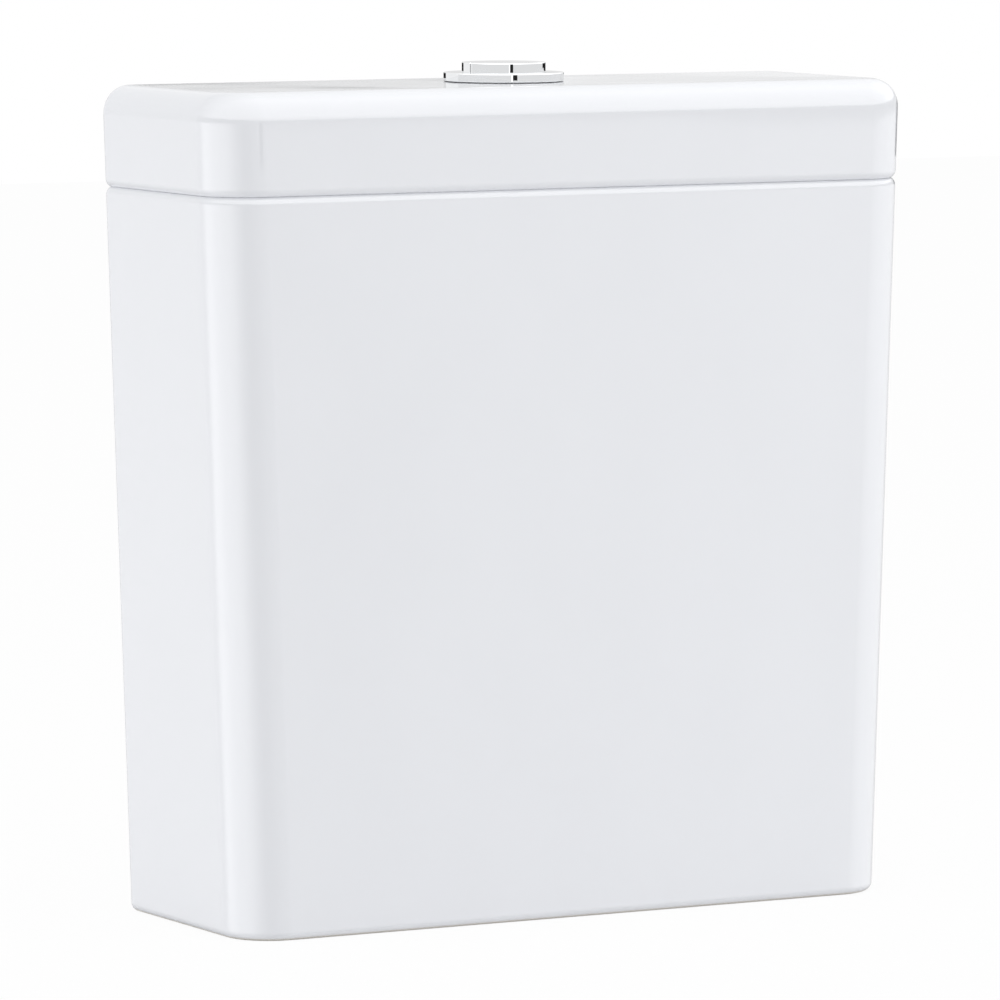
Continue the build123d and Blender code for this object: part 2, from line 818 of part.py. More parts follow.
def inlet_filter():
    """Slotted thimble in the tail's mouth."""
    high = tail_bottom + filter_length
    thimble = rod(filter_radius, tail_bottom, high)
    thimble -= rod(filter_radius - filter_wall, tail_bottom - overrun, high - filter_wall)
    slot_span = (tail_bottom + filter_wall * 2, high - filter_wall * 2)
    half = filter_slot_width / 2
    for index in range(filter_slots):
        slot = block((0, filter_radius + overrun), (-half, half), slot_span)
        thimble -= Rot(0, 0, index * 360 / filter_slots) * slot
    return thimble


def fill_valve_head():
    head = rod(fill_head_radius, riser_top, fill_head_top)
    head += cross_bar(nozzle_radius, 0, nozzle_height, 0, nozzle_reach)
    socket = discharge_radius + thread_gap
    socket_top = nozzle_height + nozzle_radius + nozzle_socket_crown
    socket_low = socket_top - nozzle_socket_height
    head += rod(nozzle_socket_radius, socket_low, socket_top, 0, nozzle_reach)
    head -= rod(socket, socket_low - overrun, nozzle_height, 0, nozzle_reach)
    seat = fill_head_top - diaphragm_thickness
    head -= rod(riser_bore, riser_top - overrun, seat)
    return head - rod(diaphragm_radius + thread_gap, seat, fill_head_top + overrun)


def discharge_tube():
    inner = discharge_radius - discharge_wall
    return ring(discharge_radius, inner, discharge_bottom, nozzle_height, 0, nozzle_reach)


def fill_diaphragm():
    return rod(diaphragm_radius, fill_head_top - diaphragm_thickness, fill_head_top)


def fill_valve_cap():
    low = fill_head_top - fill_cap_skirt
    cap = rod(fill_cap_radius, low, fill_cap_top)
    for place in PolarLocations(fill_cap_radius, fill_cap_ribs):
        cap += place * rod(fill_cap_rib, low, fill_cap_top - fill_cap_wall)
    cap -= rod(fill_head_radius + thread_gap, low - overrun, fill_head_top)
    cap -= rod(plunger_radius + sliding_gap, fill_head_top - overrun, fill_cap_top + overrun)
    for way in (-1, 1):
        near = way * (arm_width / 2 + sliding_gap)
        far = near + way * arm_ear_thickness
        y_span = sorted((near, far))
        x_span = (arm_pivot_x - arm_hub_radius, arm_pivot_x + arm_hub_radius)
        cap += block(x_span, y_span, (fill_cap_top, arm_pivot_height))
        cap += cross_bar(arm_hub_radius, arm_pivot_x, arm_pivot_height, *y_span)
        cap -= cross_bar(pin_radius, arm_pivot_x, arm_pivot_height, y_span[0] - overrun, y_span[1] + overrun)
    return cap


def float_arm_pin():
    half = arm_width / 2 + sliding_gap + arm_ear_thickness
    return cross_bar(pin_radius, arm_pivot_x, arm_pivot_height, -half, half)


def pilot_plunger():
    top = arm_pivot_height + short_rise - arm_end_radius - sliding_gap
    plunger = rod(plunger_radius, top - plunger_length, top)
    return plunger + rod(plunger_head_radius, top - plunger_head_height, top)


def float_arm():
    half = arm_width / 2
    arm = cross_bar(arm_hub_radius, 0, 0, -half, half)
    arm += cross_bar(arm_end_radius, -arm_pivot_x, 0, -half, half)
    arm += cross_bar(arm_end_radius, arm_long, 0, -half, half)
    arm += block((-arm_pivot_x, arm_long), (-half, half), (-arm_bar / 2, arm_bar / 2))
    slot = arm_slot_width / 2
    slot_x = (arm_long - arm_slot_length, arm_long + arm_end_radius + overrun)
    arm -= block(slot_x, (-slot, slot), (-arm_hub_radius, arm_hub_radius))
    arm -= cross_bar(pin_radius + running_gap, 0, 0, -half - overrun, half + overrun)
    return Pos(arm_pivot_x, 0, arm_pivot_height) * Rot(0, degrees(float_lean), 0) * arm


def float_cup():
    """Cup open at the bottom that slides on the riser, with an ear for the level screw."""
    sleeve = riser_radius + loose_gap
    cup = ring(float_radius, sleeve, float_low, float_top)
    inner = float_radius - float_wall
    cup -= ring(inner, sleeve + float_sleeve_wall, float_low - overrun, float_top - float_roof)
    half = float_ear_width / 2
    eye = screw_radius + sliding_gap
    ear_low = float_top - float_ear_height
    ear = block((float_radius - float_wall, screw_x), (-half, half), (ear_low, float_top))
    ear += rod(half, ear_low, float_top, screw_x, 0)
    return cup + ear - rod(eye, ear_low - overrun, float_top + overrun, screw_x, 0)


def level_screw():
    end = arm_pivot_height - arm_drop
    head_low = end + arm_end_radius + sliding_gap
    head_top = head_low + screw_head_height
    collar_top = end - arm_end_radius - sliding_gap
    screw = rod(screw_radius, screw_bottom, head_low, screw_x, 0)
    screw += rod(screw_head_radius, head_low, head_top, screw_x, 0)
    screw += rod(screw_collar_radius, collar_top - screw_collar_height, collar_top, screw_x, 0)
    reach = screw_head_radius + overrun
    half = screw_slot_width / 2
    x_span = (screw_x - reach, screw_x + reach)
    return screw - block(x_span, (-half, half), (head_top - screw_slot_depth, head_top + overrun))


# All pieces, each at its place in the cistern

ceramic_pieces = {
    "cistern_tank": cistern_tank(),
    "cistern_lid": cistern_lid(),
    "lid_pads": lid_pads(),
}

valve_axis_pieces = {
    "button_rosette": button_rosette(),
    "rosette_seal": rosette_seal(),
    "lid_lock_nut": lid_lock_nut(),
    "button_guide": button_guide(),
    "full_flush_button": full_flush_button(),
    "half_flush_button": half_flush_button(),
    "full_button_spring": spring(full_stem_y),
    "half_button_spring": spring(half_stem_y),
    "full_push_rod": push_rod(full_stem_y),
    "half_push_rod": push_rod(half_stem_y),
    "valve_seat_body": valve_seat_body(),
    "shank_seal": shank_seal(),
    "shank_back_nut": shank_back_nut(),
    "pan_gasket": pan_gasket(),
    "valve_basket": valve_basket(),
    "lever_bridge": lever_bridge(),
    "lever_pins": lever_pins(),
    "full_flush_lever": flush_lever(1, full_stem_y),
    "half_flush_lever": flush_lever(-1, half_stem_y),
    "overflow_tube": overflow_tube(),
    "valve_seal": valve_seal(),
    "seal_plate": seal_plate(),
    "full_flush_float": full_flush_float(),
    "lift_hook": lift_hook(),
    "half_flush_rod": half_flush_rod(),
    "half_flush_float": half_flush_float(),
    "half_float_clip": half_float_clip(),
}

fill_axis_pieces = {
    "fill_valve_riser": fill_valve_riser(),
    "inlet_seal": inlet_seal(),
    "inlet_back_nut": inlet_back_nut(),
    "inlet_filter": inlet_filter(),
    "fill_valve_head": fill_valve_head(),
    "discharge_tube": discharge_tube(),
    "fill_diaphragm": fill_diaphragm(),
    "fill_valve_cap": fill_valve_cap(),
    "float_arm_pin": float_arm_pin(),
    "pilot_plunger": pilot_plunger(),
    "float_arm": float_arm(),
    "float_cup": float_cup(),
    "level_screw": level_screw(),
}

os.makedirs("parts", exist_ok=True)
for place, pieces in (
    (Pos(0, 0, 0), ceramic_pieces),
    (Pos(0, valve_y, 0), valve_axis_pieces),
    (Pos(fill_x(), valve_y, 0), fill_axis_pieces),
):
    for name, piece in pieces.items():
        export_step(place * piece, f"parts/{name}.step")
print_spring_gap()
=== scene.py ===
"""Looks of a close-coupled toilet cistern with its lid, chrome push button, flush valve and fill valve."""

import json
from math import asin, cos, pi, radians, sin, sqrt

import bmesh
import bpy
from bpy.props import FloatProperty, FloatVectorProperty, IntProperty, PointerProperty
from mathutils import Matrix, Vector


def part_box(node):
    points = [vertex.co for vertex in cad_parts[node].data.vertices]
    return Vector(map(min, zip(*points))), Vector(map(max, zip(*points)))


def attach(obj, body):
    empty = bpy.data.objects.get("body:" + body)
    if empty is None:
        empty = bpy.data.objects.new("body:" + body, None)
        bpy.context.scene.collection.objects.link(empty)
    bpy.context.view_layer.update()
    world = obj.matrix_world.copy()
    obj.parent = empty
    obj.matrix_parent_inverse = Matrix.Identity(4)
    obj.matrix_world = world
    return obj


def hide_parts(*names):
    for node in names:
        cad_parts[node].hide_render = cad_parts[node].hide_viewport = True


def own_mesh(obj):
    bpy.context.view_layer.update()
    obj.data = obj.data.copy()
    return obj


bl_info = {
    "name": "Toilet cistern",
    "version": (1, 0, 0),
    "blender": (4, 5, 0),
    "location": "3D View > Sidebar > Cistern",
    "description": "Builds a glazed ceramic cistern with its button and valves round a packed frame",
    "category": "Add Mesh",
}

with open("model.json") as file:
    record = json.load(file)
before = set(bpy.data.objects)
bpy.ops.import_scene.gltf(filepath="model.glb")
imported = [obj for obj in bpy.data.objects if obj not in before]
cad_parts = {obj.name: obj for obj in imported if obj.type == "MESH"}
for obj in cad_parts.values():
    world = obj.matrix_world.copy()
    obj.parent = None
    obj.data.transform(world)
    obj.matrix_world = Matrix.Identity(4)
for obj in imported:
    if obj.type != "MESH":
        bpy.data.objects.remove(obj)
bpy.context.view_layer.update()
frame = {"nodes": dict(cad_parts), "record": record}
NODE_BODY = {node: body for body, nodes in frame["record"]["behaviour"]["bodies"].items()
             for node in nodes}
SLOT_OF = {part["node"]: part["material_slot"] for part in frame["record"]["subparts"]}

# Angles in radians over which an edge stays sharp, and over which it gets a bevel
CERAMIC_SHARP, MOULDED_SHARP, METAL_SHARP, WIRE_SHARP = 0.5, 0.55, 0.6, 0.7
BEVEL_ANGLE, BEVEL_STEPS = 0.9, 3
# Distance in metres under which two corners are one, and angle under which two faces are one
MERGE, PACKED_MERGE, FLAT = 0.000001, 0.000002, 0.004
# Steps in round shapes
FRONT_STEPS, BACK_STEPS, EDGE_STEPS, FILLET_STEPS, RIM_STEPS, CROWN_STEPS = 28, 10, 10, 8, 5, 26
BUTTON_STEPS, BUTTON_EDGE_STEPS, RING_STEPS, SLEEVE_STEPS, STEM_STEPS = 72, 6, 160, 96, 48
OUTLET_STEPS, INLET_STEPS, BOLT_STEPS, WIRE_SIDES = 96, 48, 40, 14
WHITE = (1.0, 1.0, 1.0, 1.0)


# Properties that a user would change

def length(name, description, default):
    return FloatProperty(name=name, description=description, default=default, min=0.0,
                         subtype="DISTANCE", unit="LENGTH")


def offset(name, description, default):
    return FloatProperty(name=name, description=description, default=default,
                         subtype="DISTANCE", unit="LENGTH")


def tilt(name, description, default):
    return FloatProperty(name=name, description=description, default=default,
                         subtype="ANGLE", unit="ROTATION")


def number(name, description, default):
    return FloatProperty(name=name, description=description, default=default, min=0.0)


def colour(name, description, default):
    return FloatVectorProperty(name=name, description=description, default=default, min=0.0, max=1.0,
                               size=3, subtype="COLOR")


class CeramicSizes(bpy.types.PropertyGroup):
    """Sizes of the ceramic tank and lid."""
    width: length("Width", "Width across the lid's top", 0.380)
    depth: length("Depth", "Depth from front to back", 0.1246)
    height: length("Height", "Height of the lid's top over the foot", 0.397)
    taper: number("Taper", "Lean of each side, as a share of the height", 0.0342)
    front_corner: length("Front corner", "Radius of the upright front corners", 0.025)
    edge: length("Edge radius", "Radius of the rims and the back edges", 0.0042)
    crown: length("Crown radius", "Radius of the lid's top edge at the front and sides", 0.014)
    wall: length("Wall", "Thickness of the tank's wall", 0.009)
    inner_back_corner: length("Inner corner", "Radius of the inner back corners", 0.006)
    rim: length("Inner rim radius", "Radius of the rims' inner edges", 0.0015)
    floor_low: length("Floor underside", "Height of the floor's underside", 0.034)
    floor_high: length("Floor top", "Height of the tank's floor", 0.044)
    floor_fillet: length("Floor fillet", "Radius between the floor and the walls", 0.004)
    tank_top: length("Tank top", "Height of the tank's rim", 0.34871)
    lid_low: length("Lid bottom", "Height of the lid's lower edge", 0.34879)
    seam_turn: tilt("Seam turn", "How far the two edges at the seam turn inwards", 1.08)
    lip_low: length("Lip bottom", "Height of the lid's inner lip", 0.341)
    lip_inset: length("Lip inset", "How far the lip stands in from the outer face", 0.0105)
    lid_wall: length("Lid wall", "Thickness of the lid's wall with its lip", 0.014)
    roof_low: length("Roof underside", "Height of the lid's inner roof", 0.387)
    outlet_hole: length("Outlet hole", "Radius of the flush valve's hole in the floor", 0.0315)
    inlet_hole: length("Inlet hole", "Radius of the fill valve's hole in the floor", 0.011)
    bolt_hole: length("Bolt hole", "Radius of the two holes for the pan's bolts", 0.0055)
    bolt_reach: length("Bolt reach", "How far each bolt hole lies from the middle", 0.080)
    button_hole: length("Button hole", "Radius of the hole in the lid", 0.0235)
    tank_bevel: length("Tank hole bevel", "Width of the bevel round the tank's holes", 0.0008)
    lid_bevel: length("Lid hole bevel", "Width of the bevel round the lid's hole", 0.0006)


class ButtonSizes(bpy.types.PropertyGroup):
    """Sizes of the chrome button set."""
    axis_y: length("Axis", "How far the button's axis lies behind the middle", 0.0091)
    radius: length("Button radius", "Radius of the two-part button", 0.0202)
    top: length("Button top", "Height of the button's top", 0.4062)
    skirt: length("Skirt", "Height of the button's wall", 0.0194)
    plate: length("Plate", "Thickness of the button's top", 0.003)
    shell: length("Shell", "Thickness of the button's wall", 0.0016)
    edge: length("Button edge", "Radius round the button's top", 0.00035)
    split: length("Split", "Width of the gap between the two parts", 0.00045)
    split_offset: length("Split offset", "How far the gap lies in front of the axis", 0.003)
    stem: length("Stem radius", "Radius of the stems under the button", 0.0036)
    stem_wall: length("Stem wall", "Thickness of the stems' walls", 0.0009)
    soft: length("Inner edges", "Bevel of the button's, the stems' and the sleeve's edges", 0.0003)
    stem_low: length("Stem bottom", "Height of the stems' lower ends", 0.350)
    ring_radius: length("Ring radius", "Outer radius of the fixed ring", 0.029)
    ring_low: length("Ring underside", "Height of the ring's underside", 0.3973)
    ring_top: length("Ring top", "Height of the ring's top", 0.4014)
    ring_edge: length("Ring edge", "Radius of the ring's edges", 0.00035)
    ring_bore: length("Ring bore", "Radius inside the ring", 0.0206)
    sleeve: length("Sleeve", "Outer radius of the ring's sleeve", 0.0226)
    sleeve_low: length("Sleeve bottom", "Height of the sleeve's lower end", 0.362)


class SpringSizes(bpy.types.PropertyGroup):
    """Sizes of the button's return springs."""
    wire: length("Wire", "Diameter of the spring wire", 0.0008)
    coil: length("Coil radius", "Radius of the spring at the middle of its wire", 0.0049)
    turns: number("Turns", "Turns of each spring", 7.0)
    low: length("Spring foot", "Height of the spring's lower end", 0.365)
    high: length("Spring head", "Height of the spring's upper end", 0.4032)
    full_y: offset("Full stem", "Place of the full-flush stem from the axis", 0.009)
    half_y: offset("Half stem", "Place of the half-flush stem from the axis", -0.012)
    end_room: number("End room", "Room for the wire at each end, as a share of its diameter", 0.55)
    points: IntProperty(name="Points", description="Points in each turn", default=40, min=8)


class FinishColours(bpy.types.PropertyGroup):
    """Colours of the finishes."""
    glaze: colour("Glaze", "White glaze", (0.785, 0.797, 0.830))
    bisque: colour("Bisque", "Bare ceramic where the glaze is wiped off", (0.74, 0.71, 0.66))
    chrome: colour("Chrome", "Chrome plate", (0.80, 0.81, 0.82))
    white: colour("White plastic", "Moulded white plastic", (0.78, 0.79, 0.78))
    grey: colour("Grey plastic", "Moulded grey plastic", (0.40, 0.42, 0.44))
    milky: colour("Milky plastic", "Moulded clear white plastic", (0.70, 0.73, 0.73))
    blue: colour("Blue plastic", "Moulded blue plastic", (0.05, 0.18, 0.40))
    rubber: colour("Rubber", "Black rubber", (0.025, 0.025, 0.027))
    steel: colour("Steel", "Stainless steel", (0.56, 0.56, 0.57))


class StudioSizes(bpy.types.PropertyGroup):
    """The camera and the studio's light."""
    azimuth: tilt("Azimuth", "Camera's turn round the object", radians(-28.80))
    elevation: tilt("Elevation", "Camera's height angle", radians(5.44))
    distance: length("Distance", "From the camera to the object's middle", 3.704)
    aim_right: offset("Aim right", "How far the view is moved to the right", -0.0062)
    aim_up: length("Aim up", "How far the view is moved up", 0.1945)
    lens: number("Lens", "Focal length in millimetres", 275.04)
    sensor: number("Sensor", "Width of the camera's sensor in millimetres", 36.0)
    far: length("Far end", "How far the camera sees", 100.0)
    sky: number("Sky", "Level of the light from all round", 0.855)
    overhead: number("Overhead", "Level that glossy faces show from above", 3.1)
    left_power: number("Left lamp", "Power of the left lamp in watts", 3.6)
    low_power: number("Low lamp", "Power of the low lamp on the left in watts", 0.9)
    right_power: number("Right lamp", "Power of the right lamp in watts", 8.5)
    top_power: number("Top lamp", "Power of the top lamp in watts", 5.0)
    floor_reach: length("Floor", "How far the floor reaches each way", 6.0)
    floor_shade: number("Floor shade", "Level of the floor's own colour", 0.9)
    floor_white: number("Floor white", "Share of plain white that the camera sees in the floor", 0.93)
    band_distance: length("Band distance", "How far the narrow reflected bands stand off", 0.5)


# Node trees

class Signal:
    """A node's output. Arithmetic on it adds Math nodes to the same tree."""

    def __init__(self, finish, socket):
        self.finish = finish
        self.socket = socket

    def math(self, operation, first, second=0.0, clamp=False):
        return self.finish.math(operation, first, second, clamp)

    def __add__(self, other):
        return self.math("ADD", self, other)

    def __mul__(self, other):
        return self.math("MULTIPLY", self, other)

    def __sub__(self, other):
        return self.math("SUBTRACT", self, other)

    def __rsub__(self, other):
        return self.math("SUBTRACT", other, self)

    def clamped(self):
        return self.math("ADD", self, 0.0, clamp=True)


class Finish:
    """One node tree of a material or of the world, filled by calls."""

    def __init__(self, tree):
        self.tree = tree
        tree.nodes.clear()

    def node(self, kind, settings=None, inputs=None, output=0):
        made = self.tree.nodes.new(kind)
        for name, value in (settings or {}).items():
            setattr(made, name, value)
        for key, value in (inputs or {}).items():
            if isinstance(value, Signal):
                self.tree.links.new(value.socket, made.inputs[key])
            else:
                made.inputs[key].default_value = value
        return Signal(self, made.outputs[output]) if made.outputs else None

    def math(self, operation, first, second=0.0, clamp=False):
        settings = {"operation": operation, "use_clamp": clamp}
        return self.node("ShaderNodeMath", settings, {0: first, 1: second})

    def split(self, vector):
        """The three parts of a vector."""
        first = self.node("ShaderNodeSeparateXYZ", {}, {"Vector": vector})
        return [Signal(self, part) for part in first.socket.node.outputs]

    def ramp(self, factor, stops):
        """Level that follows a factor through pairs of place and level."""
        made = self.node("ShaderNodeValToRGB", {}, {"Fac": factor})
        elements = made.socket.node.color_ramp.elements
        while len(elements) < len(stops):
            elements.new(0.5)
        for element, (place, level) in zip(elements, sorted(stops)):
            element.position = place
            element.color = (level, level, level, 1.0)
        return made

    def place(self, scale=(1.0, 1.0, 1.0)):
        """Object coordinates, stretched where a pattern is longer one way."""
        spot = self.node("ShaderNodeTexCoord", output="Object")
        return self.node("ShaderNodeMapping", {}, {"Vector": spot, "Scale": scale})

    def noise(self, place, scale, detail=2.0, roughness=0.5):
        return self.node("ShaderNodeTexNoise", {}, {"Vector": place, "Scale": scale, "Detail": detail,
                                                    "Roughness": roughness})

    def blend(self, factor, first, second):
        """Mix two colours."""
        def full(value):
            return value if isinstance(value, Signal) else (*value, 1.0)
        ends = {0: factor, 6: full(first), 7: full(second)}
        return self.node("ShaderNodeMix", {"data_type": "RGBA"}, ends, output=2)

    def bump(self, height, distance, normal=None):
        inputs = {"Height": height, "Distance": distance, "Strength": 1.0}
        if normal is not None:
            inputs["Normal"] = normal
        return self.node("ShaderNodeBump", {}, inputs)

    def surface(self, **sockets):
        """Principled surface; a socket's name is written with low lines for spaces."""
        shader = self.node("ShaderNodeBsdfPrincipled", {}, {key.replace("_", " "): value
                                                            for key, value in sockets.items()})
        self.node("ShaderNodeOutputMaterial", {}, {"Surface": shader})


def new_material(name):
    material = bpy.data.materials.new(name)
    material.use_nodes = True
    return material, Finish(material.node_tree)


def glaze_finish(colours):
    """White glaze: a calm, faintly wavy surface, bare and matt where the piece stands."""
    bare_height, bare_sharpness = 0.0016, 1500.0
    gloss, clouding, dryness, dimming = 0.045, 0.05, 0.55, 0.985
    material, f = new_material("white_glaze")
    spot = f.place()
    slow = f.noise(spot, scale=9.0, detail=1.0)
    fine = f.noise(spot, scale=420.0, detail=2.0)
    clouds = f.noise(spot, scale=22.0, detail=3.0)
    height = f.node("ShaderNodeSeparateXYZ", {}, {"Vector": spot}, "Z")
    bare = ((bare_height - height) * bare_sharpness).clamped()
    body = f.blend(clouds * 0.5, tuple(colours.glaze), tuple(c * dimming for c in colours.glaze))
    base = f.blend(bare, body, tuple(colours.bisque))
    waves = f.bump(slow, distance=0.0009)
    normal = f.bump(fine, distance=0.0000015, normal=waves)
    f.surface(Base_Color=base, Roughness=(clouds * clouding + gloss) + bare * dryness, Normal=normal, IOR=1.6)
    return material


def chrome_finish(colours):
    """Bright plate with a trace of wiping marks."""
    gloss, wiping = 0.015, 0.03
    material, f = new_material("bright_chrome")
    marks = f.noise(f.place((1.0, 6.0, 1.0)), scale=160.0, detail=3.0)
    f.surface(Base_Color=tuple(colours.chrome) + (1.0,), Metallic=1.0, Roughness=marks * wiping + gloss,
              Normal=f.bump(marks, distance=0.000002))
    return material


def moulded_finish(name, colour_value, gloss, grain, weight=0.0):
    """Moulded plastic: fine grain, faint flow marks, a trace of lime in its gloss."""
    shade, lime_start, lime_sharpness, lime_colour = 0.9, 0.52, 4.0, (0.75, 0.76, 0.75)
    flow_mix, lime_mix, lime_dulling, flow_dulling = 0.6, 0.10, 0.12, 0.06
    material, f = new_material(name)
    spot = f.place()
    flow = f.noise(f.place((1.0, 1.0, 0.25)), scale=60.0, detail=3.0)
    grit = f.noise(spot, scale=1800.0, detail=2.0)
    lime = f.noise(spot, scale=75.0, detail=5.0, roughness=0.65) - lime_start
    film = (lime * lime_sharpness).clamped()
    base = f.blend(flow * flow_mix, tuple(colour_value), tuple(c * shade for c in colour_value))
    base = f.blend(film * lime_mix, base, lime_colour)
    f.surface(Base_Color=base, Roughness=film * lime_dulling + flow * flow_dulling + gloss, IOR=1.49,
              Normal=f.bump(grit, distance=grain), Subsurface_Weight=weight, Subsurface_Scale=0.004)
    return material


def rubber_finish(colours):
    """Matt rubber with mould grain and a dull bloom."""
    bloom_gain, bloom_start, bloom_colour = 1.6, 0.5, (0.060, 0.060, 0.062)
    gloss, dulling = 0.5, 0.2
    material, f = new_material("black_rubber")
    spot = f.place()
    grain = f.noise(spot, scale=1400.0, detail=4.0)
    bloom = f.noise(spot, scale=90.0, detail=4.0, roughness=0.6)
    base = f.blend((bloom * bloom_gain - bloom_start).clamped(), tuple(colours.rubber), bloom_colour)
    f.surface(Base_Color=base, Roughness=bloom * dulling + gloss, IOR=1.5,
              Normal=f.bump(grain, distance=0.00002))
    return material


def steel_finish(colours):
    """Drawn steel wire and pins with fine marks along their length."""
    gloss, dulling = 0.16, 0.2
    material, f = new_material("drawn_steel")
    marks = f.noise(f.place((900.0, 60.0, 900.0)), scale=1.0, detail=3.0)
    f.surface(Base_Color=tuple(colours.steel) + (1.0,), Metallic=1.0, Roughness=marks * dulling + gloss,
              Normal=f.bump(marks, distance=0.000003))
    return material


FINISHES = {}


def make_finishes(colours):
    FINISHES.update({
        "glazed_ceramic": glaze_finish(colours),
        "chrome": chrome_finish(colours),
        "white_plastic": moulded_finish("white_moulding", colours.white, gloss=0.22, grain=0.000006),
        "grey_plastic": moulded_finish("grey_moulding", colours.grey, gloss=0.34, grain=0.000012),
        "clear_white_plastic": moulded_finish("milky_moulding", colours.milky, gloss=0.30, grain=0.000008,
                                              weight=0.15),
        "blue_plastic": moulded_finish("blue_moulding", colours.blue, gloss=0.24, grain=0.000006),
        "black_rubber": rubber_finish(colours),
        "stainless_steel": steel_finish(colours),
    })


# Meshes

def add_piece(name, mesh, body, slot, replaced=()):
    """Put a finished mesh in the scene, on its body."""
    piece = bpy.data.objects.new(name, mesh)
    bpy.context.scene.collection.objects.link(piece)
    mesh.materials.clear()
    mesh.materials.append(FINISHES[slot])
    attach(piece, body)
    if replaced:
        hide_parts(*replaced)
    return piece


def mesh_from(name, vertices, faces):
    mesh = bpy.data.meshes.new(name)
    mesh.from_pydata([tuple(v) for v in vertices], [], faces)
    return mesh


def tidy_mesh(mesh):
    """Merge doubles, close and turn all faces outwards."""
    work = bmesh.new()
    work.from_mesh(mesh)
    bmesh.ops.remove_doubles(work, verts=work.verts, dist=MERGE)
    bmesh.ops.dissolve_degenerate(work, edges=work.edges, dist=MERGE)
    bmesh.ops.recalc_face_normals(work, faces=work.faces)
    work.to_mesh(mesh)
    work.free()


def finish_mesh(mesh, sharp, bevel=0.0, cutters=()):
    """Cut, bevel and smooth a mesh through modifiers, and give back the plain result."""
    holder = bpy.data.objects.new("holder", mesh)
    bpy.context.scene.collection.objects.link(holder)
    for cutter in cutters:
        cut = holder.modifiers.new("cut", "BOOLEAN")
        cut.operation = "DIFFERENCE"
        cut.solver = "EXACT"
        cut.object = cutter
    if bevel:
        soft = holder.modifiers.new("soft", "BEVEL")
        soft.width = bevel
        soft.segments = BEVEL_STEPS
        soft.limit_method = "ANGLE"
        soft.angle_limit = BEVEL_ANGLE
        soft.miter_outer = "MITER_ARC"
    result = read_result(holder)
    for cutter in cutters:
        bpy.data.objects.remove(cutter)
    bpy.data.objects.remove(holder)
    return smooth_mesh(result, sharp)


def read_result(holder):
    """The evaluated object as a plain mesh."""
    graph = bpy.context.evaluated_depsgraph_get()
    graph.update()
    result = bpy.data.meshes.new_from_object(holder.evaluated_get(graph), depsgraph=graph)
    holder.modifiers.clear()
    return result


def smooth_mesh(mesh, sharp):
    """Smooth shading that keeps flat faces flat and edges over the angle sharp."""
    holder = bpy.data.objects.new("holder", mesh)
    bpy.context.scene.collection.objects.link(holder)
    work = bmesh.new()
    work.from_mesh(mesh)
    for face in work.faces:
        face.smooth = True
    for edge in work.edges:
        edge.smooth = len(edge.link_faces) == 2 and edge.calc_face_angle(0.0) < sharp
    work.to_mesh(mesh)
    work.free()
    weight = holder.modifiers.new("weight", "WEIGHTED_NORMAL")
    weight.mode = "FACE_AREA"
    weight.keep_sharp = True
    result = read_result(holder)
    bpy.data.objects.remove(holder)
    return result


def loft(name, loops):
    """Skin through closed loops of equal length, capped at both ends."""
    count = len(loops[0])
    faces = []
    for row in range(len(loops) - 1):
        for spot in range(count):
            after = (spot + 1) % count
            faces.append((row * count + spot, row * count + after, (row + 1) * count + after,
                          (row + 1) * count + spot))
    faces.append(tuple(range(count)))
    faces.append(tuple(range((len(loops) - 1) * count, len(loops) * count)))
    mesh = mesh_from(name, [point for loop in loops for point in loop], faces)
    tidy_mesh(mesh)
    return mesh


def lathe(name, profile, steps, centre):
    """Turned shape through a closed profile of radii and heights."""
    vertices = []
    for step in range(steps):
        turn = 2 * pi * step / steps
        vertices += [(centre[0] + r * cos(turn), centre[1] + r * sin(turn), z) for r, z in profile]
    count = len(profile)
    faces = []
    for step in range(steps):
        here, there = step * count, (step + 1) % steps * count
        for spot in range(count):
            after = (spot + 1) % count
            faces.append((here + spot, there + spot, there + after, here + after))
    mesh = mesh_from(name, vertices, faces)
    tidy_mesh(mesh)
    return mesh


def bar_cutter(radius, low, high, x, y, steps):
    """Round cutter for a hole."""
    turns = [2 * pi * i / steps for i in range(steps)]
    loops = [[(x + radius * cos(turn), y + radius * sin(turn), z) for turn in turns] for z in (low, high)]
    cutter = bpy.data.objects.new("cutter", loft("cutter", loops))
    bpy.context.scene.collection.objects.link(cutter)
    cutter.hide_render = True
    return cutter


def arc(start, end, count):
    """Evenly spaced angles in radians from start to end."""
    return [start + (end - start) * i / count for i in range(count + 1)]


def shell_loop(sizes, z, inset, front_radius, back_radius, back_inset=None):
    """Level loop of the cistern's outline at an inset, with its own corner radii."""
    half = sizes.width / 2 - sizes.taper * (sizes.height - z) - inset
    front = -sizes.depth / 2 + inset
    back = sizes.depth / 2 - (inset if back_inset is None else back_inset)
    least = 0.00002
    front_radius, back_radius = max(front_radius, least), max(back_radius, least)
    corners = (
        (half - back_radius, back - back_radius, back_radius, 0.0, BACK_STEPS),
        (-half + back_radius, back - back_radius, back_radius, pi / 2, BACK_STEPS),
        (-half + front_radius, front + front_radius, front_radius, pi, FRONT_STEPS),
        (half - front_radius, front + front_radius, front_radius, 3 * pi / 2, FRONT_STEPS),
    )
    return [(x + radius * cos(turn), y + radius * sin(turn), z)
            for x, y, radius, start, count in corners for turn in arc(start, start + pi / 2, count)]


